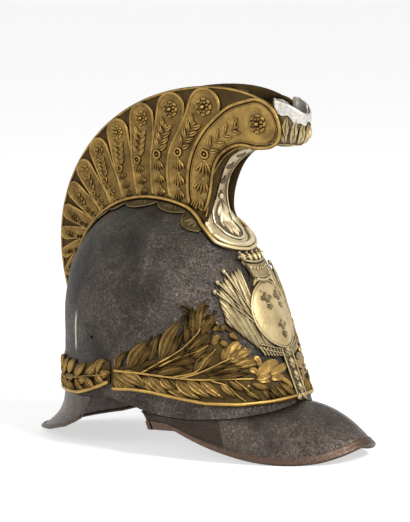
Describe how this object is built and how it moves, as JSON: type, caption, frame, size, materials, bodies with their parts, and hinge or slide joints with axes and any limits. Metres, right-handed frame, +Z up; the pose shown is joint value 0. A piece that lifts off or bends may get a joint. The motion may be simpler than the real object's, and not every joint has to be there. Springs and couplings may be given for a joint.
{
  "type": "cavalry helmet",
  "caption": "Steel cavalry helmet with a visor, a neck guard, gilt leaf bands and front plate, and a tall hollow gadrooned crest that ends in a cup over the brow.",
  "frame": {"origin": "on the ground under the middle of the whole length and width; the visor's edge rests on this plane", "axes": "+Z up, -Y towards the visor (the wearer's front), +X towards the wearer's left"},
  "size_m": [0.199, 0.3541, 0.3369],
  "materials": {
    "skull_steel": "dark patinated steel, mottled and finely pitted",
    "visor_steel": "worn grey-brown steel with dents and rubbed spots",
    "rim_copper": "worn copper-coloured binding",
    "gilt_brass": "old gilding, ochre gold with dark recesses",
    "pale_gilt": "rubbed gilding, pale gold with dark recesses",
    "silvered": "silvered sheet, dull and crumpled",
    "inner_brass": "dark tarnished brass",
    "iron": "filed iron",
    "leather": "brown leather, worn",
    "lace": "cotton lace"
  },
  "bodies": {
    "root": {"skull": "skull_steel", "visor": "visor_steel", "visor_binding": "rim_copper", "visor_rivets": "iron", "neck_guard": "visor_steel", "guard_binding": "rim_copper", "neck_guard_rivets": "iron", "side_band_right": "gilt_brass", "side_band_left": "gilt_brass", "rear_band": "gilt_brass", "band_studs": "iron", "front_plate": "pale_gilt", "front_shield": "pale_gilt", "front_crown": "pale_gilt", "crest_side_right": "gilt_brass", "crest_side_left": "gilt_brass", "crest_mask": "pale_gilt", "crest_cup": "pale_gilt", "cup_lining": "silvered", "crest_channel": "inner_brass", "crest_foot_right": "gilt_brass", "crest_foot_left": "gilt_brass", "crest_bead": "gilt_brass", "crest_saddle": "inner_brass", "crest_studs": "iron", "crest_nuts": "iron", "sweatband": "leather", "liner_tongues": "leather", "liner_lace": "lace"}
  },
  "joints": []
}
